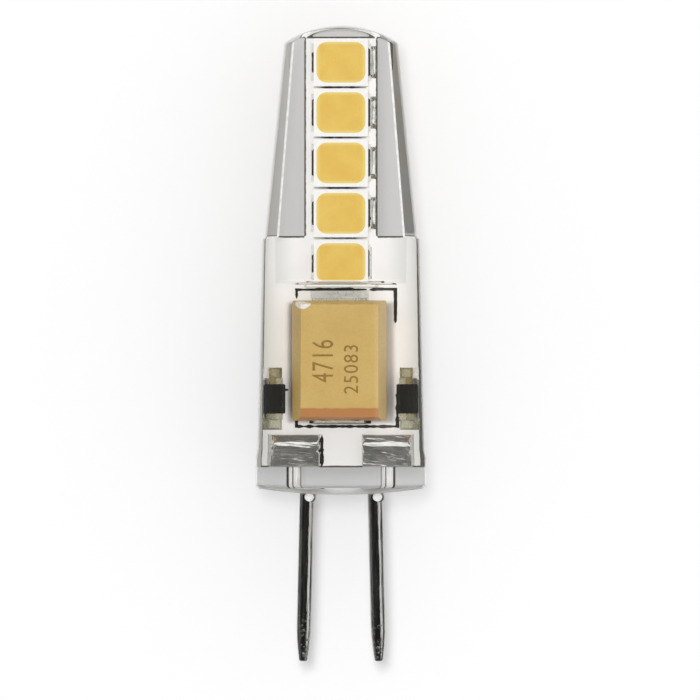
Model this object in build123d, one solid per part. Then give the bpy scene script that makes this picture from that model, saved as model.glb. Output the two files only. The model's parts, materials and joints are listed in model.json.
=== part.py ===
from build123d import *
import os
from math import cos, hypot, radians, sin, sqrt, tan

# An LED capsule bulb for a two-pin low-voltage holder, in millimetres and degrees.
# It is drawn about its own axis: Y runs from the base face up to the dome, X across the board
# and Z out of the board's front. Last of all it is laid on its back, as it rests on a table.

# Contact pins: a stout outer end that leans out a little, and a thinner straight tail in a slot of the board
pin_spacing = 4.0
pin_diameter = 0.8
pin_reach = 9.8
pin_splay = 1.3
pin_tip_length = 2.4
pin_tip_diameter = 0.5
tail_diameter = 0.64
tail_seat = 1.4
tail_root = 0.3
slot_clearance = 0.06

# Solder joints over the slots, on both faces of the board
joint_width = 2.6
joint_length = 1.9
joint_height = 0.55
joint_corner = 0.55
joint_slope = 32.0
joint_outset = 0.2
joint_gap = 0.7

# Circuit board: a strip for the emitters and a wide part for the supply
board_thickness = 1.0
board_corner = 0.3
board_margin = 0.05
strip_margin = 0.55
shelf_rise = 0.13
led_edge = 0.09

# Surface-mount emitters
led_count = 5
led_width = 3.2
led_length = 2.8
led_height = 0.7
led_gap = 0.16
led_wall_x = 0.16
led_wall_y = 0.2
led_well_corner = 0.62
led_well_depth = 0.42
terminal_thickness = 0.15
terminal_reach = 0.15
terminal_width = 2.2
terminal_gap = 0.5
terminal_short = 1.1

# Moulded chip capacitor, lying between the front diodes and a little to the left
cap_length = 7.3
cap_width = 4.73
cap_height = 2.9
cap_draft = 9.0
cap_gap = 0.63
cap_shift = 0.08
cap_tab_thickness = 0.13
cap_tab_width = 2.4
cap_tab_foot = 1.3
cap_tab_stub = 0.3

# Diodes of the bridge rectifier
diode_length = 1.75
diode_width = 1.3
diode_height = 1.0
diode_draft = 7.0
diode_gap = 0.335
diode_rise = 1.4
diode_standoff = 0.08
lead_thickness = 0.14
lead_width = 1.1
lead_reach = 0.85
lead_knee = 0.2
lead_stub = 0.2

# Chip resistors on the board's back
resistor_length = 3.2
resistor_width = 1.6
resistor_height = 0.55
resistor_band = 0.45
resistor_plating = 0.05
resistor_spacing = 2.4

# Clear envelope: cover left round the pieces inside, and the form of its outside
base_cover = 1.63
base_radius = 31.0
base_round = 0.45
collar_height = 2.2
collar_step = 0.1
collar_taper = 0.5
side_cover = 0.32
lower_draft = 1.4
waist_step = 0.14
waist_rise = 0.15
rim_cover = 1.2
dome_cover = 0.7
dome_radius = 6.1
cap_end_cover = 0.92
window_cover = 0.6
window_taper = 3.5
window_corner = 0.25

# Places along the axis, stacked up from the base face
board_bottom = base_cover
cap_bottom = board_bottom + joint_length + joint_gap
cap_top = cap_bottom + cap_length
led_pitch = led_length + led_gap
lowest_led = cap_top + cap_gap + led_length / 2
led_levels = [lowest_led + led_pitch * step for step in reversed(range(led_count))]
strip_start = lowest_led + led_pitch / 2 + shelf_rise
board_top = led_levels[0] + led_length / 2 + led_edge
dome_top = board_top + dome_cover
shoulder = cap_top + cap_end_cover
diode_level = cap_bottom + diode_rise

# Places across the board and out of it
face = board_thickness / 2
board_half = cap_width / 2 + diode_gap + diode_width + board_margin
strip_half = led_width / 2 + strip_margin
diode_side = cap_width / 2 + diode_gap + diode_width / 2
pin_side = pin_spacing / 2

# How far the pieces inside reach from the axis, and radii of the envelope round them
cap_top_half = cap_width / 2 - cap_height / 2 * tan(radians(cap_draft))
inner_reach = max(
    hypot(board_half, face),
    hypot(cap_top_half, face + cap_height),
    hypot(diode_side + diode_width / 2, face + diode_standoff + diode_height),
)
waist_half = inner_reach + side_cover
rim_half = strip_half + rim_cover
collar_top = collar_height + collar_taper
waist_level = strip_start - waist_rise
lower_half = waist_half + (waist_level - collar_top) * tan(radians(lower_draft))
collar_half = lower_half + collar_step


def bulge(radius, half_width):
    """Height of an arc of this radius over a chord of twice the half width."""
    return radius - sqrt(radius**2 - half_width**2)


def nearest_corner(sketch, point):
    """The corner of a sketch that lies nearest to a point."""
    return min(sketch.vertices(), key=lambda corner: (Vector(corner) - Vector(*point)).length)


def along_axis(points):
    """A face in the plane of the axis and the board's normal, from points of Y and Z."""
    return Plane.YZ * make_face(Polyline(*points, close=True))


def turned_profile():
    """Half section of the envelope from the base face to the dome."""
    base_edge = (collar_half, bulge(base_radius, collar_half))
    base_middle = (collar_half / 2, bulge(base_radius, collar_half / 2))
    lower_start = (lower_half, collar_top)
    waist_low = (waist_half, waist_level)
    waist_high = (waist_half - waist_step, strip_start)
    rim = (rim_half, dome_top - bulge(dome_radius, rim_half))
    dome_middle = (rim_half / 2, dome_top - bulge(dome_radius, rim_half / 2))
    collar_edge = (collar_half, collar_height)
    side = Polyline(base_edge, collar_edge, lower_start, waist_low, waist_high, rim)
    base = ThreePointArc((0, 0), base_middle, base_edge)
    dome = ThreePointArc(rim, dome_middle, (0, dome_top))
    axis_line = Line((0, dome_top), (0, 0))
    profile = make_face([*base.edges(), *side.edges(), *dome.edges(), *axis_line.edges()])
    return fillet(nearest_corner(profile, base_edge), base_round)


def window_cut():
    """What is cut away in front of the emitters: a leaning flat that ends at the shoulder."""
    rim_level = dome_top - bulge(dome_radius, rim_half)
    rim_height = face + led_height + window_cover
    slope = tan(radians(window_taper))
    past_top = dome_top + dome_cover
    outside = collar_half + dome_radius
    inner_corner = (shoulder, rim_height + (rim_level - shoulder) * slope)
    upper_end = (past_top, rim_height + (rim_level - past_top) * slope)
    section = make_face(
        Polyline(inner_corner, upper_end, (past_top, outside), (shoulder, outside), close=True)
    )
    section = fillet(nearest_corner(section, inner_corner), window_corner)
    return extrude(Plane.YZ * section, amount=outside, both=True)


def make_outer_form():
    """The whole outside of the envelope: a turned form with a flat window front and back."""
    turned = revolve(turned_profile(), axis=Axis.Y)
    front_cut = window_cut()
    return turned - front_cut - Rot(0, 180, 0) * front_cut


def make_board_blank():
    """The board before its slots are cut."""
    wide = Pos(0, (board_bottom + strip_start) / 2) * Rectangle(2 * board_half, strip_start - board_bottom)
    strip = Pos(0, (strip_start + board_top) / 2) * Rectangle(2 * strip_half, board_top - strip_start)
    outline = wide + strip
    shoulders = [nearest_corner(outline, (side * board_half, strip_start)) for side in (-1, 1)]
    ends = [nearest_corner(outline, (side * strip_half, board_top)) for side in (-1, 1)]
    outline = fillet(shoulders + ends, board_corner)
    return extrude(outline, amount=face, both=True)


def make_pin(side):
    """A turned pin with a slim curved tip, and the thinner tail that it grows from."""
    tip_start = (pin_diameter / 2, pin_tip_length - pin_reach)
    tip_end = (pin_tip_diameter / 2, -pin_reach)
    nose = TangentArc(tip_start, tip_end, tangent=(0, -1))
    sides = Polyline(tip_end, (0, -pin_reach), (0, 0), (pin_diameter / 2, 0), tip_start)
    section = make_face([*nose.edges(), *sides.edges()])
    outer_end = Rot(0, 0, side * pin_splay) * revolve(section, axis=Axis.Y)
    tail_length = tail_root + board_bottom + tail_seat
    tail = Pos(0, -tail_root, 0) * Rot(-90, 0, 0) * extrude(Circle(tail_diameter / 2), amount=tail_length)
    return Pos(side * pin_side, 0, 0) * (outer_end + tail)


def make_slot(side):
    """The slot that a pin's tail lies in, open at the board's lower edge."""
    width = tail_diameter + 2 * slot_clearance
    length = board_bottom + tail_seat + slot_clearance
    outline = Pos(0, length / 2) * Rectangle(width, length)
    return Pos(side * pin_side, 0, 0) * extrude(outline, amount=board_thickness, both=True)


def make_joint_mounds(side):
    """Solder mounds over a slot, one on each face of the board."""
    outline = Rectangle(joint_width, joint_length)
    outline = chamfer(outline.vertices(), joint_corner)
    mound = extrude(outline, amount=joint_height, taper=joint_slope)
    front = Pos(side * (pin_side + joint_outset), board_bottom + joint_length / 2, face) * mound
    return front + mirror(front, about=Plane.XY)


def make_led():
    """One emitter standing on Z = 0: the block that it fills, and its three pieces."""
    block = Box(led_width, led_length, led_height, align=(Align.CENTER, Align.CENTER, Align.MIN))
    well = RectangleRounded(led_width - 2 * led_wall_x, led_length - 2 * led_wall_y, led_well_corner)
    phosphor = extrude(Pos(0, 0, led_height) * well, amount=-led_well_depth)
    half = led_width / 2 + terminal_reach
    short = terminal_reach + terminal_short
    long = 2 * half - terminal_gap - short
    plate_sizes = ((-half, short), (half - long, long))
    terminals = Part() + [
        Pos(start, 0, 0)
        * Box(length, terminal_width, terminal_thickness, align=(Align.MIN, Align.CENTER, Align.MIN))
        for start, length in plate_sizes
    ]
    housing = block - phosphor - terminals
    return block + terminals, {"housing": housing, "phosphor": phosphor, "terminals": terminals}


def drafted_block(length, width, height, draft, bottom):
    """A moulded block, widest at its parting line half way up, with length along Y."""
    parting = Pos(0, 0, bottom + height / 2) * Rectangle(width, length)
    upper = extrude(parting, amount=height / 2, taper=draft)
    lower = extrude(parting, amount=-height / 2, taper=draft)
    return upper + lower


def make_capacitor():
    """The capacitor standing on Z = 0: its moulded body and the tabs folded under its ends."""
    tab = cap_tab_thickness
    end = cap_length / 2 - tab
    parting = (cap_height + tab) / 2
    body = drafted_block(2 * end, cap_width, cap_height - tab, cap_draft, tab)
    profile = along_axis(
        [
            (end + tab, 0),
            (end + tab, parting + tab / 2),
            (end - cap_tab_stub, parting + tab / 2),
            (end - cap_tab_stub, parting - tab / 2),
            (end, parting - tab / 2),
            (end, tab),
            (end - cap_tab_foot, tab),
            (end - cap_tab_foot, 0),
        ]
    )
    upper_tab = extrude(profile, amount=cap_tab_width / 2, both=True)
    lower_tab = mirror(upper_tab, about=Plane.XZ)
    return {"body": body - upper_tab - lower_tab, "tab_upper": upper_tab, "tab_lower": lower_tab}


def make_diode():
    """A diode standing on Z = 0: its moulded body and a pair of bent leads."""
    end = diode_length / 2
    parting = diode_standoff + diode_height / 2
    body = drafted_block(diode_length, diode_width, diode_height, diode_draft, diode_standoff)
    profile = along_axis(
        [
            (end - lead_stub, parting - lead_thickness / 2),
            (end + lead_knee, parting - lead_thickness / 2),
            (end + lead_knee, 0),
            (end + lead_reach, 0),
            (end + lead_reach, lead_thickness),
            (end + lead_knee + lead_thickness, lead_thickness),
            (end + lead_knee + lead_thickness, parting + lead_thickness / 2),
            (end - lead_stub, parting + lead_thickness / 2),
        ]
    )
    lead = extrude(profile, amount=lead_width / 2, both=True)
    leads = lead + mirror(lead, about=Plane.XZ)
    return {"body": body - leads, "leads": leads}


def make_resistor():
    """A chip resistor standing on Z = 0: a ceramic slab with plated ends."""
    plating = resistor_plating
    slab = Pos(0, 0, resistor_height / 2) * Box(
        resistor_width, resistor_length - 2 * plating, resistor_height - 2 * plating
    )
    end = resistor_length / 2
    profile = along_axis(
        [
            (end - resistor_band, 0),
            (end, 0),
            (end, resistor_height),
            (end - resistor_band, resistor_height),
        ]
    )
    band = extrude(profile, amount=resistor_width / 2, both=True) - slab
    return {"body": slab, "ends": band + mirror(band, about=Plane.XZ)}


def placed(pieces, place):
    """The same named pieces, moved to a place."""
    return {name: place * piece for name, piece in pieces.items()}


def add_pieces(nodes, name, pieces):
    """Enters an assembly's pieces under its own name."""
    for piece_name, piece in pieces.items():
        nodes[f"{name}_{piece_name}"] = piece


def build_nodes():
    """Every node of the bulb, drawn about its axis."""
    nodes = {}
    filled = []
    on_front = Pos(0, 0, face)
    on_back = Rot(0, 180, 0) * Pos(0, 0, face)
    sides = {"left": -1, "right": 1}

    led_block, led_pieces = make_led()
    for number, level in enumerate(led_levels, start=1):
        for side_name, side_place in (("front", on_front), ("back", on_back)):
            place = Pos(0, level, 0) * side_place
            add_pieces(nodes, f"led_{side_name}_{number}", placed(led_pieces, place))
            filled.append(place * led_block)

    cap_place = Pos(-cap_shift, (cap_bottom + cap_top) / 2, 0) * on_front
    supply = {"capacitor": placed(make_capacitor(), cap_place)}
    for side_name, side in sides.items():
        level = Pos(side * diode_side, diode_level, 0)
        supply[f"diode_front_{side_name}"] = placed(make_diode(), level * on_front)
        supply[f"diode_back_{side_name}"] = placed(make_diode(), level * on_back)
        level = Pos(side * resistor_spacing / 2, (cap_bottom + cap_top) / 2, 0)
        supply[f"resistor_{side_name}"] = placed(make_resistor(), level * on_back)
    for name, pieces in supply.items():
        add_pieces(nodes, name, pieces)
        filled.extend(pieces.values())

    board_blank = make_board_blank()
    board = board_blank
    filled.append(board_blank)
    for side_name, side in sides.items():
        pin = make_pin(side)
        slot = make_slot(side)
        mounds = make_joint_mounds(side)
        nodes[f"contact_pin_{side_name}"] = pin
        nodes[f"solder_{side_name}"] = (slot & board_blank) + mounds - pin
        board = board - slot
        filled.extend([pin, mounds])
    nodes["circuit_board"] = board
    nodes["envelope"] = make_outer_form() - filled
    return nodes


def lying_on_back():
    """From the bulb's own axis to a table: back down, middle of the length over the origin."""
    pin_tip = -pin_reach * cos(radians(pin_splay)) - tip_corner_drop()
    return Pos(0, -(dome_top + pin_tip) / 2, collar_half)


def tip_corner_drop():
    """How much further a leaning tip's outer corner reaches than its middle."""
    return pin_tip_diameter / 2 * sin(radians(pin_splay))


os.makedirs("parts", exist_ok=True)
rest = lying_on_back()
for node_name, node in build_nodes().items():
    export_step(rest * node, f"parts/{node_name}.step")
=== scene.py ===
import json
from math import atan2, cos, hypot, pi, radians, sin, sqrt, tan

import bmesh
import bpy
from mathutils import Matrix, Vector, noise
from mathutils.bvhtree import BVHTree


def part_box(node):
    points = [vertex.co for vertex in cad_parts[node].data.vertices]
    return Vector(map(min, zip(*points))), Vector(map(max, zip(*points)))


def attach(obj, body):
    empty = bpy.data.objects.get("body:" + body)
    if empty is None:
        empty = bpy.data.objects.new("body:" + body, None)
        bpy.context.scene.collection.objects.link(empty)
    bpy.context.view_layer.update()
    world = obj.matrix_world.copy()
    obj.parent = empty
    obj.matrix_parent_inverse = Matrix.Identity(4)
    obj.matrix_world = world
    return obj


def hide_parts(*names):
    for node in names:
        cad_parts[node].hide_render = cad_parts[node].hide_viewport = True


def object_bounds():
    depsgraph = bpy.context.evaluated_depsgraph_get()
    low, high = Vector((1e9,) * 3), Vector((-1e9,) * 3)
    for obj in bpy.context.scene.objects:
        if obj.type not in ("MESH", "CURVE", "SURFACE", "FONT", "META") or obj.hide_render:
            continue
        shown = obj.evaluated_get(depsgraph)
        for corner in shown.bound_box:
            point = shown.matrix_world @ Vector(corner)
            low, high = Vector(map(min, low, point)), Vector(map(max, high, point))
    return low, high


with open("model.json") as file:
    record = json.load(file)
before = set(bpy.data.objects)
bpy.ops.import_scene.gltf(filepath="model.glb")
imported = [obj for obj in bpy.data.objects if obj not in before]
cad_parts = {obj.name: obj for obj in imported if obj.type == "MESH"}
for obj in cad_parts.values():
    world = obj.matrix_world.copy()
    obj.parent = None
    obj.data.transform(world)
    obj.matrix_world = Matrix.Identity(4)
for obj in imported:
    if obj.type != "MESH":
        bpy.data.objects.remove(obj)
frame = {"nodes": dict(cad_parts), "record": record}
cad_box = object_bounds()
nodes = frame["nodes"]
record = frame["record"]

# Lengths are millimetres about the bulb's own axis: Y up from the base face, Z out of the front.
MM = 0.001
X, Y, Z = range(3)
envelope_low, envelope_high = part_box("envelope")
axis_place = Vector((0, envelope_low.y, (envelope_low.z + envelope_high.z) / 2))


def to_frame(point):
    """A point about the bulb's axis, as a place in the frame."""
    return axis_place + Vector(point) * MM


def from_frame(place):
    """A place in the frame, as a point about the bulb's axis."""
    return (place - axis_place) / MM


def bulb_box(node):
    """A node's lowest and highest corner about the bulb's axis."""
    low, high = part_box(node)
    return from_frame(low), from_frame(high)


def linear(*rgb):
    """A colour as the screen shows it, 0 to 255, as the shader takes it."""
    parts = [c / 255 for c in rgb]
    return (*(c / 12.92 if c <= 0.04045 else ((c + 0.055) / 1.055) ** 2.4 for c in parts), 1.0)


def grey(level):
    return (level, level, level, 1)


def bulge(radius, half_width):
    """Height of an arc of this radius over a chord of twice the half width."""
    return radius - sqrt(radius**2 - half_width**2)


def mixed(a, b, share):
    return a + (b - a) * share


def shares_of(count):
    """Even shares of a length, up to its end."""
    return [(i + 1) / count for i in range(count)]


def smooth_step(low, high, value):
    t = min(1.0, max(0.0, (value - low) / (high - low)))
    return t * t * (3 - 2 * t)


def wave(*place):
    """Smooth noise at a place, between about -1 and 1."""
    return noise.noise(Vector(place))


class Nodes:
    """The nodes of a material or of the surroundings, and short ways to add to them."""

    def __init__(self, owner):
        owner.use_nodes = True
        self.nodes = owner.node_tree.nodes
        self.links = owner.node_tree.links

    def add(self, kind, **settings):
        node = self.nodes.new(kind)
        for key, value in settings.items():
            setattr(node, key, value)
        return node

    def plug(self, sockets, values):
        """Links each socket to its value, or sets it where the value is plain."""
        for socket, value in zip(sockets, values):
            if isinstance(value, bpy.types.NodeSocket):
                self.links.new(value, socket)
            else:
                socket.default_value = value

    def math(self, operation, *values):
        node = self.add("ShaderNodeMath", operation=operation)
        self.plug(node.inputs, values)
        return node.outputs[0]

    def ramp(self, value, low, high, out_low=0.0, out_high=1.0):
        """A value between low and high, carried smoothly over to another range."""
        node = self.add("ShaderNodeMapRange", interpolation_type="SMOOTHSTEP")
        self.plug(node.inputs, (value, low, high, out_low, out_high))
        return node.outputs[0]

    def ray(self, kind):
        """1 on rays of this kind, and 0 on others."""
        return self.add("ShaderNodeLightPath").outputs[f"Is {kind} Ray"]


class Tree(Nodes):
    """A material with a Principled shader."""

    def __init__(self, name, **sockets):
        self.material = bpy.data.materials.new(name)
        super().__init__(self.material)
        self.shader = self.nodes["Principled BSDF"]
        for key, value in sockets.items():
            self.shader.inputs[key.replace("_", " ")].default_value = value
        self.place = self.add("ShaderNodeTexCoord").outputs["Object"]

    def coordinate(self, axis, source=None):
        split = self.add("ShaderNodeSeparateXYZ")
        self.links.new(source or self.place, split.inputs[0])
        return split.outputs[axis]

    def bulb_place(self, axis):
        """How far along an axis a point lies from the bulb's own axis or base, in millimetres."""
        return self.math("DIVIDE", self.math("SUBTRACT", self.coordinate(axis), axis_place[axis]), MM)

    def mix(self, share, a, b):
        node = self.add("ShaderNodeMix", data_type="RGBA")
        self.plug((node.inputs[0], node.inputs[6], node.inputs[7]), (share, a, b))
        return node.outputs[2]

    def noise(self, size, detail=3.0, stretch=(1, 1, 1)):
        """Noise with features of about this size in millimetres, drawn out along an axis by stretch."""
        mapping = self.add("ShaderNodeMapping")
        mapping.inputs["Scale"].default_value = [1 / s for s in stretch]
        self.links.new(self.place, mapping.inputs["Vector"])
        node = self.add("ShaderNodeTexNoise")
        self.links.new(mapping.outputs[0], node.inputs["Vector"])
        node.inputs["Scale"].default_value = 1 / (size * MM)
        node.inputs["Detail"].default_value = detail
        node.inputs["Roughness"].default_value = 0.55
        return node.outputs[0]

    def spread(self, grain, low=0.0, high=1.0):
        """Noise carried from where most of it lies over to this range."""
        return self.ramp(grain, 0.3, 0.7, low, high)

    def colour(self, socket):
        self.links.new(socket, self.shader.inputs["Base Color"])

    def rough(self, socket):
        self.links.new(socket, self.shader.inputs["Roughness"])

    def bump(self, height, depth):
        """Bump whose full height is this many millimetres."""
        node = self.add("ShaderNodeBump")
        node.inputs["Distance"].default_value = depth * MM
        self.links.new(height, node.inputs["Height"])
        self.links.new(node.outputs[0], self.shader.inputs["Normal"])

    def show_instead(self, share, other):
        """Shows this share of another shader in the place of the Principled one."""
        either = self.add("ShaderNodeMixShader")
        self.plug(either.inputs, (share, self.shader.outputs[0], other.outputs[0]))
        self.links.new(either.outputs[0], self.nodes["Material Output"].inputs[0])


# Places that the finishes and the pieces share
board_low, board_high = bulb_box("circuit_board")
board_face = board_high.z
led_boxes = [bulb_box(f"led_front_{number}_housing") for number in range(1, 6)]
led_half = led_boxes[0][1].x
strip_start = (led_boxes[3][0].y + led_boxes[4][1].y) / 2 + 0.13
strip_half = led_half + 0.55
cap_low, cap_high = bulb_box("capacitor_body")
cap_top_level = cap_high.z
cap_middle = (cap_low.x + cap_high.x) / 2
cap_skin = [from_frame(vertex.co) for vertex in nodes["capacitor_body"].data.vertices]
cap_top_half = max(point.x for point in cap_skin if point.z > cap_top_level - 0.01) - cap_middle

resin_ior, silicone_ior = 1.5, 1.41


def let_light_through(tree):
    """Lamps and soft light reach the pieces inside the silicone, and less of it the table below."""
    entering, leaving = 0.6, 0.98
    light_ray = tree.math("MAXIMUM", tree.ray("Shadow"), tree.ray("Diffuse"))
    from_inside = tree.add("ShaderNodeNewGeometry").outputs["Backfacing"]
    through = tree.add("ShaderNodeBsdfTransparent")
    tree.links.new(tree.mix(from_inside, grey(entering), grey(leaving)), through.inputs[0])
    tree.show_instead(light_ray, through)


def grained(name, light, dark, size, roughness, depth,
            stretch=(1, 1, 1), finer=0.6, clear=False, **sockets):
    """A surface whose colour, gloss and relief follow a fine grain, with a relief finer than the rest."""
    tree = Tree(name, **sockets)
    grain = tree.noise(size, stretch=stretch)
    tree.colour(tree.mix(tree.spread(grain), linear(*dark), linear(*light)))
    tree.rough(tree.spread(grain, *roughness))
    tree.bump(tree.noise(size * finer, stretch=stretch), depth)
    if clear:
        let_light_through(tree)
    return tree.material


def make_board_material():
    """White solder mask that stops just short of the board's cut edge, with painted shade towards its lower
    end and the sides of its wide part, and painted light and shade on its cut sides.
    """
    mask_start, mask_full, mask_wander = 0.03, 0.08, 0.08
    shade_full_level, shade_end_level, edge_shade_width = 1.6, 4.4, 1.5
    far_off = 9.0
    tree = Tree("board", IOR=resin_ior)
    across = tree.math("ABSOLUTE", tree.bulb_place(X))
    along = tree.bulb_place(Y)
    wide = tree.math("LESS_THAN", along, strip_start)
    half = tree.math("ADD", strip_half, tree.math("MULTIPLY", wide, board_high.x - strip_half))
    beside = tree.math("SUBTRACT", half, across)
    over = tree.math("SUBTRACT", board_high.y, along)
    under = tree.math("SUBTRACT", along, board_low.y)
    in_strip = tree.math("LESS_THAN", across, strip_half)
    from_shoulder = tree.math("ABSOLUTE", tree.math("SUBTRACT", strip_start, along))
    nearest = tree.math("ADD", from_shoulder, tree.math("MULTIPLY", in_strip, far_off))
    for distance in (beside, over, under):
        nearest = tree.math("MINIMUM", nearest, distance)
    ragged = tree.math("MULTIPLY", tree.noise(0.25), mask_wander)
    masked = tree.ramp(tree.math("SUBTRACT", nearest, ragged), mask_start, mask_full)
    clean = tree.mix(tree.spread(tree.noise(2.5)), linear(244, 242, 240), linear(250, 248, 246))
    # Painted shade: the white darkens towards the lower end of the board.
    white_with_low_shade = tree.mix(tree.ramp(along, shade_full_level, shade_end_level), linear(240, 239, 236), clean)
    # Painted shade: the wide part of the board greys towards its sides.
    edge_shade = tree.math("MULTIPLY", wide, tree.ramp(beside, edge_shade_width, 0.0))
    white = tree.mix(edge_shade, white_with_low_shade, linear(222, 222, 218))
    normal = tree.add("ShaderNodeNewGeometry").outputs["Normal"]
    cut_side = tree.math("LESS_THAN", tree.math("ABSOLUTE", tree.coordinate(Z, normal)), 0.5)
    # Painted light and shade on the cut sides: pale where they face left, dark where they face right.
    shaded_right_side = tree.math("GREATER_THAN", tree.coordinate(X, normal), 0.5)
    cut_lit_and_shaded = tree.mix(shaded_right_side, linear(206, 204, 196), linear(92, 90, 82))
    edge_colour = tree.mix(cut_side, linear(84, 80, 70), cut_lit_and_shaded)
    tree.colour(tree.mix(tree.math("SUBTRACT", masked, cut_side), edge_colour, white))
    tree.rough(tree.ramp(masked, 0.0, 1.0, 0.8, 0.38))
    tree.bump(tree.noise(0.3), 0.004)
    return tree.material


def make_phosphor_material():
    """Phosphor fill: fine grains, paler round the rim where it thins out."""
    rim_start, rim_end, grain_share = 0.4, 0.5, 0.35
    tree = Tree("phosphor", IOR=resin_ior)
    generated = tree.add("ShaderNodeTexCoord").outputs["Generated"]
    offsets = []
    for axis in (X, Y):
        from_middle = tree.math("SUBTRACT", tree.coordinate(axis, generated), 0.5)
        offsets.append(tree.math("ABSOLUTE", from_middle))
    rim = tree.ramp(tree.math("MAXIMUM", *offsets), rim_start, rim_end)
    grain = tree.spread(tree.noise(0.06, detail=2.0))
    centre = tree.mix(tree.spread(tree.noise(1.2)), linear(231, 191, 92), linear(236, 202, 104))
    body = tree.mix(tree.math("MULTIPLY", grain, grain_share), centre, linear(226, 182, 82))
    tree.colour(tree.mix(rim, body, linear(238, 214, 128)))
    tree.rough(tree.ramp(grain, 0.0, 1.0, 0.5, 0.7))
    tree.bump(tree.noise(0.08), 0.006)
    return tree.material


def make_capacitor_material():
    """Ochre moulding with a printed orange band that marks one end."""
    band_level = cap_low.y + 0.74
    band_blur, band_wobble = 0.03, 0.12
    parting, parting_blur = (cap_low.z + cap_top_level) / 2, 0.02
    tree = Tree("capacitor_ochre", IOR=resin_ior)
    grain = tree.noise(0.09, detail=4.0)
    cloud = tree.ramp(tree.noise(1.6), 0.25, 0.75)
    ochre = tree.mix(cloud, linear(203, 170, 100), linear(209, 179, 110))
    speckled = tree.mix(tree.ramp(grain, 0.35, 0.75, 0.0, 0.3), ochre, linear(186, 150, 82))
    wobble = tree.math("MULTIPLY", tree.math("SUBTRACT", tree.noise(0.3), 0.5), band_wobble)
    along = tree.math("ADD", tree.bulb_place(Y), wobble)
    across = tree.math("ABSOLUTE", tree.math("SUBTRACT", tree.bulb_place(X), cap_middle))
    below = tree.ramp(along, band_level + band_blur, band_level - band_blur)
    within = tree.ramp(across, cap_top_half + band_blur, cap_top_half - band_blur)
    upper = tree.ramp(tree.bulb_place(Z), parting - parting_blur, parting + parting_blur)
    band = tree.math("MULTIPLY", tree.math("MULTIPLY", below, within), upper)
    tree.colour(tree.mix(band, speckled, linear(184, 126, 74)))
    tree.rough(tree.spread(grain, 0.42, 0.6))
    tree.bump(grain, 0.01)
    return tree.material


def make_clear_material():
    """Clear silicone, smooth but for a slight waviness."""
    shade = (0.985, 0.985, 0.98, 1)
    tree = Tree("clear_silicone", Base_Color=shade, Roughness=0.02,
                IOR=silicone_ior, Transmission_Weight=1.0)
    tree.bump(tree.noise(3.0, detail=1.0), 0.012)
    let_light_through(tree)
    return tree.material


def make_pin_material():
    """Tinned nickel, drawn lengthwise, and pitted where the tips were dipped."""
    dip_start, dip_full = -6.0, -9.0
    tree = Tree("nickel", Metallic=1.0)
    streak = tree.spread(tree.noise(0.14, stretch=(1, 14, 1)))
    dipped = tree.ramp(tree.bulb_place(Y), dip_start, dip_full)
    pit = tree.math("MULTIPLY", tree.ramp(tree.noise(0.3, detail=4.0), 0.54, 0.7), dipped)
    drawn = tree.mix(streak, linear(150, 149, 146), linear(192, 191, 188))
    tree.colour(tree.mix(pit, drawn, linear(210, 208, 202)))
    drawn_gloss = tree.ramp(streak, 0.0, 1.0, 0.14, 0.26)
    tree.rough(tree.math("ADD", drawn_gloss, tree.math("MULTIPLY", pit, 0.25)))
    tree.bump(tree.math("ADD", tree.math("MULTIPLY", streak, 0.3), pit), 0.025)
    return tree.material


# Grained finishes: light and dark colour, size of the grain, least and most roughness, depth of the relief
materials = {
    "clear_silicone": make_clear_material(),
    "white_board": make_board_material(),
    "white_housing": grained("led_housing", (252, 251, 248), (247, 245, 240), 0.2, (0.45, 0.6), 0.004),
    "yellow_phosphor": make_phosphor_material(),
    "tinned_metal": grained("tin", (208, 206, 184), (166, 164, 142), 0.8, (0.2, 0.32), 0.004, Metallic=0.8),
    "solder": grained("solder", (226, 225, 221), (200, 199, 192), 0.3, (0.06, 0.14), 0.002,
                      stretch=(2.5, 1, 1), Metallic=1.0),
    "nickel_pin": make_pin_material(),
    "ochre_moulding": make_capacitor_material(),
    "black_moulding": grained("diode_black", (40, 38, 34), (30, 28, 25), 0.12, (0.5, 0.7), 0.01,
                              Specular_IOR_Level=0.1),
    "dark_ceramic": grained("resistor_black", (44, 43, 42), (30, 30, 30), 0.3, (0.25, 0.4), 0.004),
}
pale_tin_and_highlight = grained("pale_tin_and_highlight", (240, 239, 234), (222, 221, 214), 0.3, (0.25, 0.4), 0.004,
                       Metallic=0.3)
tail_tin = grained("tail_tin", (252, 252, 250), (236, 235, 231), 0.3, (0.2, 0.35), 0.01,
                   stretch=(1, 8, 1), Metallic=0.8)
# Painted shade: dark finish for gaps at the emitters' feet, the tails' groove and sides, and the capacitor's
# lower end
painted_shade = grained("painted_shade_finish", (74, 70, 62), (44, 41, 36), 0.12, (0.4, 0.6), 0.01, Specular_IOR_Level=0.1)
corner_highlight_white = grained("painted_corner_highlight", (244, 240, 230), (228, 221, 204), 0.25, (0.35, 0.55), 0.008)
bead_highlight_white = grained("painted_bead_highlight", (250, 250, 248), (238, 238, 234), 0.2, (0.12, 0.25), 0.004)
ink_and_gap_shade = grained("silkscreen_ink_and_gap_shade", (46, 43, 38), (26, 24, 21), 0.15, (0.5, 0.7), 0.006)
marking = grained("marking_ink", (158, 124, 62), (140, 106, 50), 0.12, (0.55, 0.7), 0.004)

# Edges of the clear moulding, matt white as painted highlight lines, and its base face, frosted where it was
# cut off
edge_highlight_matt = grained("silicone_edge_highlight", (246, 246, 243), (226, 226, 222), 0.3, (0.25, 0.45), 0.004,
                    finer=2 / 3, IOR=silicone_ior)
base_frost = grained("silicone_base", (230, 230, 228), (216, 216, 214), 0.5, (0.4, 0.55), 0.006,
                     clear=True, IOR=silicone_ior, Transmission_Weight=1.0)

for subpart in record["subparts"]:
    name = subpart["node"]
    finish = pale_tin_and_highlight if name.endswith("_terminals") else materials[subpart["material_slot"]]
    nodes[name].material_slots[0].material = finish


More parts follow.
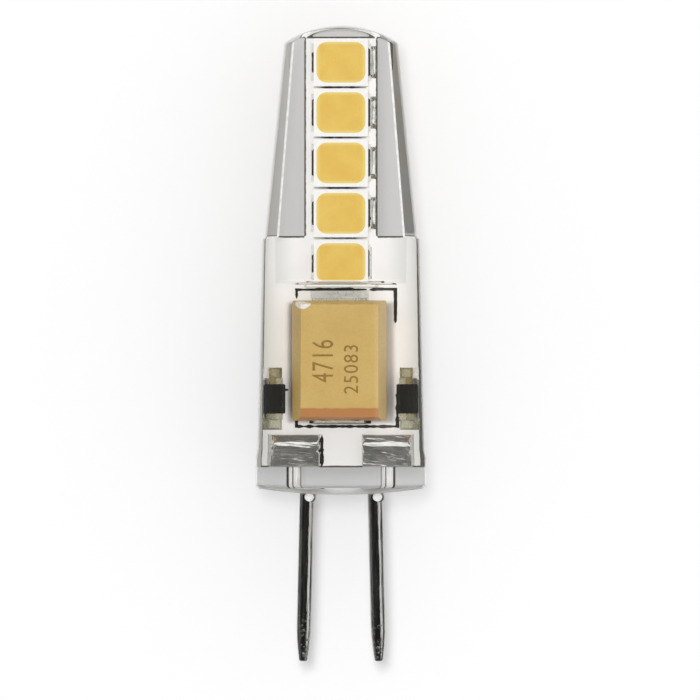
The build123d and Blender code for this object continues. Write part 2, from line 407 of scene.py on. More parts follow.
def place_piece(name, mesh):
    """A mesh as a piece that rides on the bulb."""
    piece = bpy.data.objects.new(name, mesh)
    bpy.context.collection.objects.link(piece)
    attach(piece, "root")
    return piece


def add_piece(name, points, faces, material, slot, smooth=True, others=(), choose=None):
    """A mesh piece from points about the bulb's axis.

    choose gives each face, by its middle and normal, the number of its material: 0, or a place in others.
    """
    merge_gap = 2e-4
    mesh = bpy.data.meshes.new(name)
    mesh.from_pydata([to_frame(point) for point in points], [], faces)
    shape = bmesh.new()
    shape.from_mesh(mesh)
    bmesh.ops.delete(shape, geom=[vert for vert in shape.verts if not vert.link_faces])
    bmesh.ops.remove_doubles(shape, verts=shape.verts, dist=merge_gap * MM)
    bmesh.ops.recalc_face_normals(shape, faces=shape.faces)
    for face in shape.faces:
        face.smooth = smooth
        if choose:
            face.material_index = choose(from_frame(face.calc_center_median()), face.normal)
    shape.to_mesh(mesh)
    shape.free()
    for item in (material, *others):
        mesh.materials.append(item)
    return place_piece(name, mesh)


def soften(piece, width, segments=2, angle=35):
    """Rounds a piece's edges by a modifier."""
    bevel = piece.modifiers.new("soft_edges", "BEVEL")
    bevel.width = width * MM
    bevel.segments = segments
    bevel.limit_method = "ANGLE"
    bevel.angle_limit = radians(angle)
    bevel.harden_normals = True


def grid_faces(rows, columns, closed=False):
    """Quads between rows of points; closed joins each row's end to its start."""
    faces = []
    for i in range(rows - 1):
        for j in range(columns if closed else columns - 1):
            k = (j + 1) % columns
            faces.append((i * columns + j, i * columns + k, (i + 1) * columns + k, (i + 1) * columns + j))
    return faces


# Clear body: the outside of the moulding, finer than the solid and with its small roundings
collar_half = (envelope_high.x - envelope_low.x) / MM / 2
dome_top = (envelope_high.y - envelope_low.y) / MM
collar_height, collar_step, collar_taper = 2.2, 0.1, 0.5
waist_step, waist_rise = 0.14, 0.15
lower_draft, window_taper = radians(1.4), radians(3.5)
base_radius, dome_radius = 31.0, 6.1
base_round, collar_round, blend_round = 0.45, 0.5, 0.5
shoulder_round, corner_round, rim_round, edge_round = 0.14, 0.25, 0.3, 0.15
shoulder = bulb_box("capacitor_tab_upper")[1].y + 0.92
lower_half = collar_half - collar_step
collar_top = collar_height + collar_taper
waist_level = strip_start - waist_rise
waist_half = lower_half - (waist_level - collar_top) * tan(lower_draft)
upper_half = waist_half - waist_step
rim_half = strip_half + 1.2
rim_level = dome_top - bulge(dome_radius, rim_half)
upper_slope = (upper_half - rim_half) / (rim_level - strip_start)
rim_height = led_boxes[0][1].z + 0.6


def wall_radius(level):
    """Radius of the turned wall, with a soft step at the waist."""
    lower = waist_half - (level - waist_level) * tan(lower_draft)
    upper = upper_half - (level - strip_start) * upper_slope
    return mixed(lower, upper, smooth_step(waist_level, strip_start, level))


def window_height(level):
    return rim_height + (rim_level - level) * tan(window_taper)


def window_point(kind, t, level):
    """A point of the section that the wall and its windows make, in the first quarter."""
    radius = wall_radius(level)
    height = window_height(level)
    inner = sqrt((radius - edge_round) ** 2 - (height - edge_round) ** 2)
    start = atan2(height - edge_round, inner)
    if kind == "side":
        x, z = radius * cos(t * start), radius * sin(t * start)
    elif kind == "edge":
        turn = mixed(start, pi / 2, t)
        x, z = inner + edge_round * cos(turn), height - edge_round + edge_round * sin(turn)
    else:
        x, z = inner * (1 - t), height
    return Vector((x, level, z))


def rounded(before, corner, after, radius, steps):
    """Points of an arc that rounds a corner between two runs, within the room that they leave."""
    least, most = 0.015, 0.49
    back, ahead = before - corner, after - corner
    room = min(back.length, ahead.length) * most
    back, ahead = back.normalized(), ahead.normalized()
    turn = pi - back.angle(ahead)
    reach = min(max(radius * tan(turn / 2), least), room)
    weight = cos(turn / 2)
    ends = (corner + back * reach, corner, corner + ahead * reach)
    points = []
    for i in range(steps + 1):
        t = i / steps
        weights = ((1 - t) ** 2, 2 * t * (1 - t) * weight, t * t)
        points.append(sum((end * w for end, w in zip(ends, weights)), Vector()) / sum(weights))
    return points


def between(a, b, count):
    return [a.lerp(b, share) for share in shares_of(count + 1)[:-1]]


def clear_column(kind, t):
    """Points up the outside of the clear body in the first quarter, from mid base to mid dome."""
    start = window_point(kind, t, shoulder)
    radius = wall_radius(shoulder)
    if kind == "flat":
        start = Vector((start.x, shoulder, sqrt(radius**2 - start.x**2)))
    out = Vector((start.x, 0, start.z)).normalized()

    def low(reach, level):
        return out * reach + Vector((0, level, 0))

    def high(level):
        return window_point(kind, t, level)

    # The wall leans, so where it meets the dome is found by closing in on it
    rim = rim_level
    for _ in range(30):
        point = high(rim)
        rim = dome_top - bulge(dome_radius, hypot(point.x, point.z))
    top = high(rim)

    def over(share):
        reach = hypot(top.x, top.z) * share
        return Vector((top.x * share, dome_top - bulge(dome_radius, reach), top.z * share))

    base_edge = low(collar_half, bulge(base_radius, collar_half))
    collar_edge = low(collar_half, collar_height)
    blend_edge = low(lower_half, collar_top)
    outer, inner = low(radius, shoulder), high(shoulder)
    least_ledge, plain_run = 0.06, 0.1
    if (outer - inner).length < least_ledge:
        plain_level = shoulder - plain_run
        outer, inner = low(wall_radius(plain_level), plain_level), high(shoulder + plain_run)

    base_steps, dome_steps = 10, 10
    base_reaches = [collar_half * i / base_steps for i in range(base_steps)]
    base = [low(reach, bulge(base_radius, reach)) for reach in base_reaches]
    edge = rounded(base[-1], base_edge, collar_edge, base_round, 8)
    collar = rounded(base_edge, collar_edge, blend_edge, collar_round, 3)
    blend = rounded(collar_edge, blend_edge, outer, blend_round, 5)
    ledge = rounded(blend_edge, outer, inner, shoulder_round, 6)
    corner = rounded(outer, inner, high(shoulder + 0.6), corner_round, 6)
    crown = rounded(high(rim - 0.8), top, over(0.7), rim_round, 6)
    waist_margin = 0.06
    waist_low, waist_high = waist_level - waist_margin, strip_start + waist_margin
    levels = [mixed(corner[-1].y, waist_low, share) for share in shares_of(7)]
    levels += [mixed(waist_low, waist_high, share) for share in shares_of(7)]
    levels += [mixed(waist_high, crown[0].y, share) for share in shares_of(24)[:-1]]
    window = [high(level) for level in levels]
    dome_start = hypot(crown[-1].x, crown[-1].z) / hypot(top.x, top.z)
    dome = [over(dome_start * (1 - share)) for share in shares_of(dome_steps)]
    return [*base, *edge, *between(edge[-1], collar[0], 4), *collar, *blend,
            *between(blend[-1], ledge[0], 12), *ledge, *between(ledge[-1], corner[0], 4), *corner,
            *window, *crown, *dome]


def make_clear_body():
    """The four quarters of the clear body, joined into one skin."""
    quarter = [("side", share) for share in (0.0, *shares_of(14))]
    quarter += [("edge", share) for share in shares_of(5)]
    quarter += [("flat", share) for share in shares_of(14)]
    first = [clear_column(*column) for column in quarter]
    order = [(column, 1, 1) for column in first]
    order += [(column, -1, 1) for column in first[-2::-1]]
    order += [(column, -1, -1) for column in first[1:]]
    order += [(column, 1, -1) for column in first[-2:0:-1]]
    rows = len(first[0])
    points = []
    for i in range(rows):
        points += [Vector((x * column[i].x, column[i].y, z * column[i].z)) for column, x, z in order]
    base_normal, edge_inset, edge_turn = -0.85, 0.04, 0.15

    def finish_of(middle, normal):
        """Matt white on the edges of the windows, as painted highlight lines, and frosted over the base."""
        if middle.y < base_round and normal.y < base_normal:
            return 2
        if not strip_start < middle.y < rim_level:
            return 0
        centre = window_point("edge", 1.0, middle.y) - Vector((0, 0, edge_round))
        aside, above = abs(middle.x) - centre.x, abs(middle.z) - centre.z
        return int(aside > -edge_inset and atan2(above, aside) > atan2(centre.z, centre.x) - edge_turn)

    piece = add_piece("clear_body", points, grid_faces(rows, len(order), closed=True),
                      materials["clear_silicone"], "clear_silicone",
                      others=(edge_highlight_matt, base_frost), choose=finish_of)
    weighted = piece.modifiers.new("flat_faces", "WEIGHTED_NORMAL")
    weighted.weight = 50
    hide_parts("envelope")


make_clear_body()


# Contact pins: finer turned forms on the mounts' axes, with their straight tails
tail_radius, slot_gap = 0.32, 0.06


def turned(profile, place, along, segments=40):
    """Points and faces of a turned form: profile gives radius and distance along the axis."""
    along = along.normalized()
    aside = along.cross(Vector((0, 0, 1))).normalized()
    up = aside.cross(along)
    points = []
    for radius, distance in profile:
        for i in range(segments):
            turn = 2 * pi * i / segments
            points.append(place + along * distance + (aside * cos(turn) + up * sin(turn)) * radius)
    return points, grid_faces(len(profile), segments, closed=True)


def joined(*shapes):
    points, faces = [], []
    for shape_points, shape_faces in shapes:
        faces += [tuple(i + len(points) for i in face) for face in shape_faces]
        points += shape_points
    return points, faces


def pin_mount(side):
    return next(mount for mount in record["mounts"] if mount["name"] == f"contact_pin_{side}")


def pin_exit(side):
    """Where a pin's axis leaves the base, and the way that it points."""
    mount = pin_mount(side)
    along = Vector(mount["axis"]).normalized()
    return from_frame(Vector(mount["pos_m"])) - along * mount["dims"]["length_mm"] / 2, along


def make_drop_and_highlight(side, place, radius):
    """Drops of metal capped with white patches as a painted highlight, on both faces of a pin at the base.
    """
    aside = 0.13
    # A hair's lean, so that the upright axis has a side to turn from
    lean = 1e-4
    turns = [pi / 2 * i / 8 for i in range(9)]
    drops, highlight_caps = [], []
    for sense in (1, -1):
        for kept, half_width, rise, lift in ((drops, 0.41, 0.3, 0.03), (highlight_caps, 0.28, 0.16, 0.09)):
            profile = [(half_width * sin(turn), rise * (1 - cos(turn))) for turn in turns]
            profile.append((0, rise))
            top = place + Vector((aside, 0, sense * (radius + lift)))
            kept.append(turned(profile, top, Vector((0, -lean, -sense)), 32))
    add_piece(f"drop_{side}", *joined(*drops), materials["nickel_pin"], "nickel_pin")
    add_piece(f"highlight_bead_{side}", *joined(*highlight_caps), bead_highlight_white, "clear_silicone")


def pin_profile(radius, straight, sunk):
    """A pin's section: straight, then drawn in to a rounded tip with a faint ring before its end."""
    tip_length, tip_radius, tip_round = 2.4, 0.25, 0.12
    ring_back, ring_depth, ring_half = 0.55, 0.03, 0.012
    tapered = tip_length - tip_round
    profile = [(0, -sunk), (radius, -sunk)]
    profile += [(radius, straight * share) for share in (0, *shares_of(12))]
    ring = (tip_length - ring_back) / tapered
    for t in sorted([*shares_of(10), ring - ring_half, ring, ring + ring_half]):
        inward = ring_depth if t == ring else 0
        profile.append((radius - (radius - tip_radius) * t**2 - inward, straight + tapered * t))
    for share in shares_of(5):
        turn = pi / 2 * share
        reach = tip_radius - tip_round * (1 - cos(turn))
        profile.append((reach, straight + tip_length - tip_round * (1 - sin(turn))))
    profile.append((0, straight + tip_length))
    return profile


def make_pin(side):
    dims = pin_mount(side)["dims"]
    exit_place, along = pin_exit(side)
    tail_length = bulb_box(f"contact_pin_{side}")[1].y
    tin_coat, sunk, bead_level = 0.025, 0.1, 0.13
    tail_sides, groove_depth = 80, 0.05
    groove = 16 if side == "left" else 18
    groove_shade_half, side_shade_start = 0.07, 0.83
    radius = dims["r_mm"] + tin_coat
    tail = [(0, -sunk), (tail_radius, -sunk)]
    tail += [(tail_radius, mixed(-sunk, -tail_length, share)) for share in shares_of(8)]
    tail.append((0, -tail_length))
    tail_points, tail_faces = turned(tail, exit_place, Vector((0, -1, 0)), tail_sides)
    for i, point in enumerate(tail_points):
        if i % tail_sides in (groove, tail_sides - groove):
            point.z -= groove_depth * (point.z - exit_place.z) / tail_radius
    outside = turned(pin_profile(radius, dims["length_mm"], sunk), exit_place, along)
    points, faces = joined(outside, (tail_points, tail_faces))
    groove_place = -cos(2 * pi * groove / tail_sides)

    def finish_of(middle, normal):
        """Tin on the tail, with painted shade in its groove and down its sides."""
        if middle.y < sunk * 1.5:
            return 0
        across = (middle.x - exit_place.x) / tail_radius
        return 2 if abs(across - groove_place) < groove_shade_half or abs(across) > side_shade_start else 1

    piece = add_piece(f"pin_{side}", points, faces, materials["nickel_pin"], "nickel_pin",
                      others=(tail_tin, painted_shade), choose=finish_of)
    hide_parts(f"contact_pin_{side}")
    make_drop_and_highlight(side, exit_place + along * bead_level, radius)


for side in ("left", "right"):
    make_pin(side)


# Solder: mounds over the slots on both faces, crinkled as they froze
def closed_faces(top, offset):
    """These faces, the same below them, whose points come later by offset, and walls round them."""
    edges = [(face[i - 1], face[i]) for face in top for i in range(len(face))]
    inner = {(b, a) for a, b in edges}
    walls = [(a, b, b + offset, a + offset) for a, b in edges if (a, b) not in inner]
    return top + [tuple(offset + i for i in face) for face in top] + walls


def relief(x_range, y_range, steps, height, floor, sense=1):
    """A closed form with a flat underside; height gives its top by shares of its width and length."""
    columns, rows = steps
    top, bottom = [], []
    for j in range(rows + 1):
        for i in range(columns + 1):
            u, v = i / columns, j / rows
            x, y = mixed(*x_range, u), mixed(*y_range, v)
            top.append(Vector((x, y, floor + sense * height(u, v))))
            bottom.append(Vector((x, y, floor)))
    return top + bottom, closed_faces(grid_faces(rows + 1, columns + 1), len(top))


def make_solder(side, seed):
    low, high = bulb_box(f"solder_{side}")
    width, length = high.x - low.x, high.y - low.y
    crest = (high.z - board_face) * 0.95
    crest_start, crest_end, crest_calm = 0.62, 0.76, 0.12
    crest_middle = (crest_start + crest_end) / 2
    climb_slope, fall_slope, end_slope = tan(radians(6.5)), tan(radians(7.5)), tan(radians(6))
    skirt_ends, end_reach, crinkle_depth = 0.05, 0.3, 0.011
    grid = (56, 72)

    def height(u, v):
        inward = min(u, 1 - u) * width
        lengthwise = min(v, 1 - v) * length
        wander = v + 0.05 * wave(u * 3, seed, 2.9)
        skirt_sides = 0.06 + 0.2 * max(0.0, wave(v * 6, seed, 5.3))
        skirt = smooth_step(0, skirt_sides, inward) * smooth_step(0, skirt_ends, lengthwise)
        climb = climb_slope * max(0.0, crest_start - wander) * length
        fall = fall_slope * max(0.0, wander - crest_end) * length
        ends = end_slope * max(0.0, end_reach + 0.15 * wave(v * 4, seed, 0.7) - inward)
        folds = noise.fractal(Vector((u * 1.4 + seed, v * 7 + u * 1.5, seed * 3.1)), 0.8, 2.1, 3)
        calm = mixed(0.35, 1.0, min(1.0, abs(wander - crest_middle) / crest_calm))
        return max(0.0, skirt * (crest - climb - fall - ends + crinkle_depth * folds * calm))

    sides = [(low.x, high.x), (low.y, high.y)]
    front = relief(*sides, grid, height, board_face)
    back = relief(*sides, grid, height, -board_face, -1)
    slot_middle = pin_exit(side)[0].x
    slot_half = tail_radius + slot_gap
    slot_end = bulb_box(f"contact_pin_{side}")[1].y + slot_gap
    fill = relief((slot_middle - slot_half, slot_middle + slot_half), (board_low.y, slot_end), (1, 1),
                  lambda u, v: 2 * board_face, -board_face)
    points, faces = joined(front, back, fill)
    piece = add_piece(f"solder_joint_{side}", points, faces, materials["solder"], "solder")
    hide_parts(f"solder_{side}")


make_solder("left", seed=1.7)
make_solder("right", seed=5.2)


# Solder fillets where the emitters' terminals meet their pads
def make_led_solder(number, place):
    low, high = bulb_box(f"led_{place}_{number}_terminals")
    wall = bulb_box(f"led_{place}_{number}_housing")[1].x
    sense = 1 if place == "front" else -1
    left_trim = (0.42, 0.2, 0.2, 0.3, 0.5)[number - 1]
    right_reach = 0.2 if number == 5 else 0.46
    shade_reach, shade_wander = 0.12, 0.05
    grid = (8, 24)

    def fillet(side, reach, trim, peak, fall, ripple, seed):
        """Solder on one side, which falls away from the housing's wall."""

        def height(u, v):
            ends = smooth_step(0, 0.14, min(v, 1 - v))
            swell = 1 + ripple * wave(u * 2 + seed, v * 4, number * 1.7 + seed)
            return peak * ends * (1 - u) ** fall * swell

        x_range = (side * wall, side * (wall + reach))
        return relief(x_range, (low.y + trim, high.y - trim), grid, height, sense * board_face, sense)

    left = fillet(-1, reach=0.13, trim=left_trim, peak=0.42, fall=0.5, ripple=0.6, seed=0.3)
    right = fillet(1, reach=right_reach, trim=0.15, peak=0.34, fall=1.6, ripple=0.3, seed=0.9)
    points, faces = joined(left, right)

    def finish_of(middle, normal):
        """Painted shade on the left, and on the right close to the wall."""
        reach = shade_reach + shade_wander * wave(middle.x, middle.y * 2.5, number)
        return int(middle.x < 0 or middle.x - wall < reach)

    add_piece(f"led_solder_{place}_{number}", points, faces, materials["solder"], "solder",
              others=(painted_shade,), choose=finish_of)


for number in range(1, 6):
    make_led_solder(number, "front")
    make_led_solder(number, "back")


# Solder round the diodes' feet, solder at the capacitor's upper end, and painted shade at its lower end
def make_foot_solder(name, x_range, y_range, wall_at_start, peak, sense, seed,
                     material=materials["tinned_metal"], highlight_side=0):
    """A solder slope that falls away from the wall at one end, with a raised level side in pale tin as a
    painted highlight if told.
    """
    side_start, side_full, level_rise, film = 0.55, 0.7, 1.5, 0.02
    grid = (24, 16)

    def outer(share):
        return smooth_step(side_start, side_full, share if highlight_side > 0 else 1 - share) * abs(highlight_side)

    # Painted highlight: the level side takes the pale tin.
    def finish_of(middle, normal):
        return int(outer((middle.x - x_range[0]) / (x_range[1] - x_range[0])) > 0.5)

    def height(u, v):
        away = v if wall_at_start else 1 - v
        ends = smooth_step(0, 0.18, min(u, 1 - u))
        slope = (1 - away) ** 1.3 * (1 + 0.25 * wave(u * 3 + seed, v * 3, seed * 2.3))
        return peak * ends * mixed(slope, level_rise, outer(u)) + film

    points, faces = relief(x_range, y_range, grid, height, sense * board_face, sense)
    add_piece(name, points, faces, material, "solder", others=(pale_tin_and_highlight,), choose=finish_of)


foot_margin, foot_length, foot_run, foot_peak = 0.12, 0.6, 0.1, 0.18
for place, sense in (("front", 1), ("back", -1)):
    for side, seed, outward in (("left", 0.4, -1), ("right", 2.6, 1)):
        low, high = bulb_box(f"diode_{place}_{side}_leads")
        across = (low.x - foot_margin, high.x + foot_margin)
        foot = f"foot_solder_{place}_{side}"
        upper, lower = (high.y - foot_length, high.y + foot_run), (low.y - foot_run, low.y + foot_length)
        make_foot_solder(f"{foot}_upper", across, upper, True, foot_peak, sense, seed, highlight_side=outward)
        make_foot_solder(f"{foot}_lower", across, lower, False, foot_peak, sense, seed)
tab_low, tab_high = bulb_box("capacitor_tab_upper")
tab_across, tab_along = (tab_low.x - 0.05, tab_high.x + 0.1), (tab_high.y, tab_high.y + 0.4)
make_foot_solder("foot_solder_capacitor", tab_across, tab_along, True, peak=0.3, sense=1, seed=4.1,
                 material=pale_tin_and_highlight)
# Painted shade: a dark slope along the capacitor's lower end.
tab_low, tab_high = bulb_box("capacitor_tab_lower")
tab_across, tab_along = (tab_low.x - 0.1, tab_high.x + 0.2), (tab_low.y - 0.06, cap_low.y + 0.02)
shade_peak = tab_high.z - board_face + 0.12
make_foot_solder("foot_shade_capacitor", tab_across, tab_along, False, shade_peak, sense=1, seed=6.3,
                 material=painted_shade)


# Small roundings on moulded pieces
for name, node in nodes.items():
    if name.endswith("_housing"):
        soften(node, 0.035)
    if name.startswith("diode") and name.endswith("_body"):
        soften(node, 0.06)
    if name == "capacitor_body":
        soften(node, 0.16, segments=3, angle=15)


# White patch over the capacitor's upper left corner, a painted highlight
def make_corner_highlight():
    skin = BVHTree.FromObject(nodes["capacitor_body"], bpy.context.evaluated_depsgraph_get())
    corner = Vector((cap_low.x + 0.3, cap_high.y - 0.2, cap_top_level))
    reach = Vector((0.56, 0.32, 1.2))
    margin, inset, above, thickness, sunk = 1.3, 0.02, 2.0, 0.03, 0.02
    columns, rows = 64, 48
    top, bottom, covers = [], [], []
    for j in range(rows + 1):
        for i in range(columns + 1):
            x = mixed(cap_low.x + inset, corner.x + margin * reach.x, i / columns)
            y = mixed(corner.y - margin * reach.y, cap_high.y - inset, j / rows)
            start = to_frame((x, y, cap_top_level + above))
            place, normal = skin.ray_cast(start, Vector((0, 0, -1)))[:2]
            surface = from_frame(place)
            off = surface - corner
            away = Vector((off.x / reach.x, off.y / reach.y, off.z / reach.z)).length
            cover = smooth_step(1.0, 0.75, away + 0.15 * wave(*(surface * 3)))
            top.append(surface + normal * mixed(-sunk, thickness, cover))
            bottom.append(surface - normal * 2 * sunk)
            covers.append(cover)
    cells = [face for face in grid_faces(rows + 1, columns + 1) if any(covers[i] > 0 for i in face)]
    add_piece("painted_corner_highlight", top + bottom, closed_faces(cells, len(top)), corner_highlight_white, "white_housing")


make_corner_highlight()


# Silkscreen brackets round the capacitor and a short mark by the left diode, a dark line beside the left
# solder mound, and lines of painted shade between the emitters
def ribbon(path, widths, floor, thickness):
    """A flat printed line along a path of points with a width at each, closed below."""
    left, right = [], []
    for i, (point, width) in enumerate(zip(path, widths)):
        steps = [(path[k + 1] - path[k]).normalized() for k in (i - 1, i) if 0 <= k < len(path) - 1]
        run = sum(steps, Vector((0, 0))).normalized()
        side = Vector((-run.y, run.x)) * width / 2 / run.dot(steps[0])
        left.append(point + side)
        right.append(point - side)
    points = [Vector((p.x, p.y, z)) for z in (floor, floor + thickness) for p in left + right]
    count = len(path)
    up = 2 * count
    faces = []
    for i in range(count - 1):
        a, b, c, d = i, i + 1, count + i + 1, count + i
        faces += [(a, b, c, d), (a + up, b + up, c + up, d + up)]
        faces += [(a, b, b + up, a + up), (d, c, c + up, d + up)]
    for i in (0, count - 1):
        faces.append((i, count + i, count + i + up, i + up))
    return points, faces


def worn_line(corners, width, ragged, taper, seed):
    """A printed line through corners, whose width wanders and runs out towards its ends."""
    step, thickness, least = 0.08, 0.015, 0.15
    path = [Vector(corners[0])]
    for a, b in zip(corners, corners[1:]):
        count = max(1, round((Vector(b) - Vector(a)).length / step))
        path += [Vector(a).lerp(Vector(b), share) for share in shares_of(count)]
    widths = []
    for i, point in enumerate(path):
        near_end = min(i, len(path) - 1 - i) * step
        full = mixed(least, 1.0, smooth_step(-0.01, taper, near_end))
        widths.append(width * full * (1 + ragged * wave(point.x * 4, point.y * 4, seed)))
    return ribbon(path, widths, board_face, thickness)


def make_silkscreen_and_gap_shade():
    left, right = cap_low.x + 0.475, cap_high.x + 0.265
    bottom, top = cap_low.y - 0.36, cap_high.y + 0.62
    inner_right, inner_top = right - 0.09, top - 0.03
    upper_left = [(left, top - 0.52), (left, inner_top), (right - 1.4, inner_top)]
    upper_right = [(right - 1.3, top - 0.05), (right - 0.95, top)]
    upper_right += [(inner_right, top), (inner_right, top - 1.95)]
    lower = [(left, bottom + 0.7), (left, bottom), (right, bottom), (right, bottom + 2.0)]
    lines = [worn_line(upper_left, width=0.15, ragged=0.85, taper=0.15, seed=1.3)]
    lines.append(worn_line(upper_right, width=0.16, ragged=0.25, taper=0.15, seed=1.3))
    lines.append(worn_line(lower, width=0.16, ragged=0.85, taper=0.15, seed=7.9))
    # Painted shade: dark lines in the gaps between the emitters' housings.
    gap_shade_lines = ((0.1, 2.1), (0.09, 3.4), (0.09, 5.6), (0.06, 8.2))
    for upper_led, lower_led, (width, seed) in zip(led_boxes, led_boxes[1:], gap_shade_lines):
        level = (upper_led[0].y + lower_led[1].y) / 2
        ends = [(-led_half, level), (led_half - 0.1, level)]
        lines.append(worn_line(ends, width, ragged=0.5, taper=0.9, seed=seed))
    joint_low, joint_high = bulb_box("solder_left")
    beside = joint_high.x + 0.07
    ends = [(beside, joint_low.y), (beside, joint_high.y)]
    lines.append(worn_line(ends, width=0.15, ragged=0.5, taper=0.3, seed=9.4))
    body_low, body_high = bulb_box("diode_front_left_body")
    level = mixed(body_high.y, body_low.y, 0.2)
    ends = [(body_high.x, level), (body_high.x + 0.36, level)]
    lines.append(worn_line(ends, width=0.15, ragged=0.3, taper=0.05, seed=4.5))
    points, faces = joined(*lines)
    add_piece("silkscreen_and_gap_shade", points, faces, ink_and_gap_shade, "black_moulding", smooth=False)


make_silkscreen_and_gap_shade()


# Value marking on the capacitor: plain numbers that read up the bulb
def make_marking(name, text, size, width, column, start):
    """Printed numbers: column is their baseline off the capacitor's middle, start is above its lower end."""
    thickness = 0.004
    curve = bpy.data.curves.new(name, "FONT")
    curve.body = text
    curve.size = size * MM
    curve.space_character = 1.12
    curve.extrude = thickness * MM
    curve.resolution_u = 4
    writing = bpy.data.objects.new(name, curve)
    bpy.context.collection.objects.link(writing)
    bpy.context.view_layer.update()
    mesh = bpy.data.meshes.new_from_object(writing.evaluated_get(bpy.context.evaluated_depsgraph_get()))
    bpy.data.objects.remove(writing)
    place = to_frame((cap_middle + column, cap_low.y + start, cap_top_level + thickness))
    for vertex in mesh.vertices:
        x, y, z = vertex.co
        vertex.co = place + Vector((-y, x * width, z))
    mesh.materials.clear()
    mesh.materials.append(marking)
    place_piece(name, mesh)


make_marking("marking_value", "4716", size=1.66, width=0.7, column=-0.34, start=2.24)
make_marking("marking_code", "25083", size=1.1, width=0.98, column=1.0, start=1.56)


# Table and cards
def matt(name, cloud_size, dark, light):
    """A matt finish for the stage, faintly clouded."""
    tree = Tree(name, Roughness=0.9, Specular_IOR_Level=0.1)
    tree.colour(tree.mix(tree.spread(tree.noise(cloud_size)), dark, light))
    return tree


def add_sheet(name, tree, x_range, start, end, hidden_from=()):
    """A flat sheet of the stage between two ends, each with its Y and Z in the frame."""
    near, far = x_range
    mesh = bpy.data.meshes.new(name)
    mesh.from_pydata([(near, *start), (far, *start), (far, *end), (near, *end)], [], [(0, 1, 2, 3)])
    mesh.materials.append(tree.material)
    sheet = bpy.data.objects.new(name, mesh)
    for kind in hidden_from:
        setattr(sheet, f"visible_{kind}", False)
    bpy.context.collection.objects.link(sheet)


def make_table():
    """A white table, which rays through the silicone see partly as an even glow of its own, painted light
    that lifts the shade they see.
    """
    half, glow_level, glow_share = 1500 * MM, 0.6, 0.5
    tree = matt("table_white", 40.0, grey(0.965), grey(0.97))
    glow = tree.add("ShaderNodeEmission")
    glow.inputs["Strength"].default_value = glow_level
    tree.show_instead(tree.math("MULTIPLY", tree.ray("Transmission"), glow_share), glow)
    tree.material.cycles.emission_sampling = "NONE"
    add_sheet("table", tree, (-half, half), (-half, 0), (half, 0))


def make_flag(name, side):
    """A dark card on the table that only gloss shows, beside the bulb and out of the camera's sight."""
    near, far, half_length, lift = 7.5 * MM, 300 * MM, 200 * MM, 0.05 * MM
    tree = matt(name, 20.0, grey(0.12), grey(0.15))
    tree.show_instead(tree.ray("Transmission"), tree.add("ShaderNodeBsdfTransparent"))
    add_sheet(name, tree, (side * near, side * far), (-half_length, lift), (half_length, lift),
              ("camera", "diffuse", "transmission", "shadow"))


def make_bevel_shade_card():
    """A pale card close below the right half of the back window, which only the clear body shows: it lies in
    shade and stands in as painted shade on the right side of the moulding.
    """
    near, far, gap = 0.95 * MM, 2.05 * MM, 0.08
    tree = matt("bevel_shade_card", 5.0, (0.78, 0.82, 0.9, 1), (0.82, 0.86, 0.94, 1))
    ends = [to_frame((0, level, -window_height(level) - gap)).yz for level in (strip_start, rim_level)]
    add_sheet("bevel_shade_card", tree, (near, far), *ends, ("camera", "diffuse", "glossy", "shadow"))


make_table()
make_flag("flag_left", -1)
make_flag("flag_right", 1)
make_bevel_shade_card()


# Lamp and surroundings
def make_lamp():
    """A square soft lamp that lights a white card under it to this level, unseen in gloss and silicone."""
    level, distance, size = 0.5, 600 * MM, 100 * MM
    direction = Vector((-0.05, 0.09, 1)).normalized()
    aim = to_frame((0, 5, 0))
    light = bpy.data.lights.new("key", "AREA")
    light.shape = "SQUARE"
    light.size = size
    light.energy = level * pi**2 * distance**2 / direction.z
    lamp = bpy.data.objects.new("key", light)
    lamp.location = aim + direction * distance
    lamp.rotation_euler = direction.to_track_quat("Z", "Y").to_euler()
    lamp.visible_camera = False
    lamp.visible_glossy = False
    lamp.visible_transmission = False
    bpy.context.collection.objects.link(lamp)


class Sky(Nodes):
    """The surroundings, shaded by direction."""

    def __init__(self):
        world = bpy.data.worlds.new("studio")
        bpy.context.scene.world = world
        super().__init__(world)
        self.direction = self.add("ShaderNodeTexCoord").outputs["Generated"]

    def towards(self, *direction):
        """Cosine of the angle between where a ray goes and a direction."""
        node = self.add("ShaderNodeVectorMath", operation="DOT_PRODUCT")
        self.plug(node.inputs, (self.direction, Vector(direction).normalized()))
        return node.outputs["Value"]

    def card(self, direction, inner, outer, level):
        """A round white card with soft edges, in degrees from its middle."""
        return self.ramp(self.towards(*direction), cos(radians(outer)), cos(radians(inner)), 0.0, level)


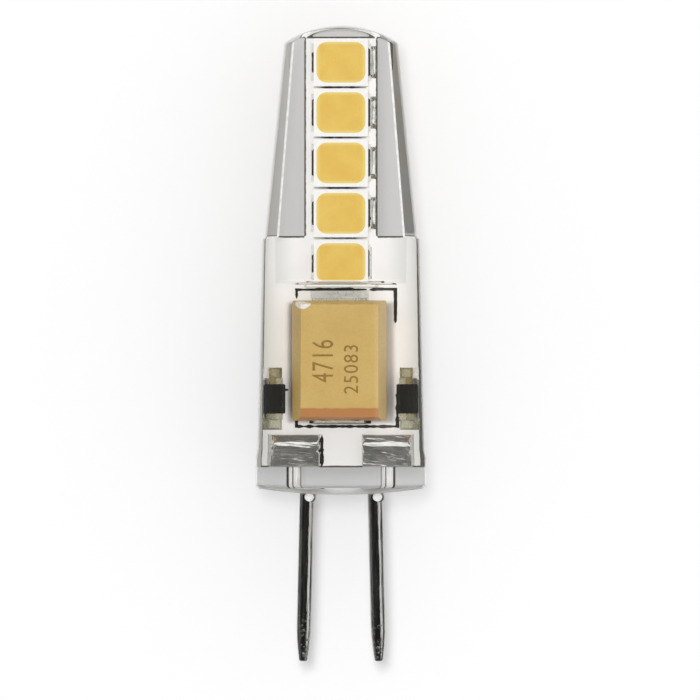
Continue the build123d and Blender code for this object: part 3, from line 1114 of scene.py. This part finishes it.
def make_world():
    """Even soft light, a dark ceiling and white cards in reflections, and a white backdrop to the eye."""
    fill_level, left_share, right_share = 0.55, 0.75, 1.3
    horizon_level, ceiling_level, ceiling_start = 0.34, 0.03, 0.5
    right_card, top_card = ((1, 0, 0.5), 8, 20, 1.5), ((0, 1, 0.95), 12, 26, 1.6)
    strip_level, strip_inner, strip_outer = 1.2, 0.06, 0.18
    strip_low, strip_high = 0.3, 0.6
    through_level, dark_level, dark_start = 1.0, 0.2, 0.6
    sky = Sky()
    height = sky.towards(0, 0, 1)
    soft = sky.ramp(sky.towards(1, 0, 0), -1.0, 1.0, fill_level * left_share, fill_level * right_share)
    mirrored = sky.ramp(height, 0.0, ceiling_start, horizon_level, ceiling_level)
    for card in (right_card, top_card):
        mirrored = sky.math("ADD", mirrored, sky.card(*card))
    # Through the silicone: pale low down, dim overhead, with a bright strip across the bulb
    lengthwise = sky.math("ABSOLUTE", sky.towards(0, 1, 0))
    band = sky.ramp(lengthwise, strip_inner, strip_outer, strip_level, 0.0)
    strip = sky.math("MULTIPLY", band, sky.ramp(height, strip_low, strip_high))
    dimmed = sky.ramp(height, 0.0, dark_start, through_level, dark_level)
    seen_through = sky.math("ADD", dimmed, strip)
    level = soft
    for kind, shown in (("Glossy", mirrored), ("Transmission", seen_through), ("Camera", 1.0)):
        change = sky.math("SUBTRACT", shown, level)
        level = sky.math("ADD", level, sky.math("MULTIPLY", change, sky.ray(kind)))
    background = sky.nodes["Background"]
    background.inputs["Color"].default_value = grey(1)
    sky.links.new(level, background.inputs["Strength"])


make_lamp()
make_world()

# Camera straight above the bulb's front
view_width, camera_height, sensor_width = 41.18, 700.0, 36
view_aside, view_below = 0.53, 0.377
camera_data = bpy.data.cameras.new("camera")
camera_data.sensor_width = sensor_width
camera_data.lens = sensor_width * camera_height / view_width
camera_data.clip_start = 10 * MM
camera_data.clip_end = 10000 * MM
camera = bpy.data.objects.new("camera", camera_data)
middle = (cad_box[0] + cad_box[1]) / 2
above = axis_place.z + camera_height * MM
camera.location = Vector((middle.x + view_aside * MM, middle.y - view_below * MM, above))
bpy.context.collection.objects.link(camera)
bpy.context.scene.camera = camera
bpy.context.scene.view_settings.view_transform = "Standard"
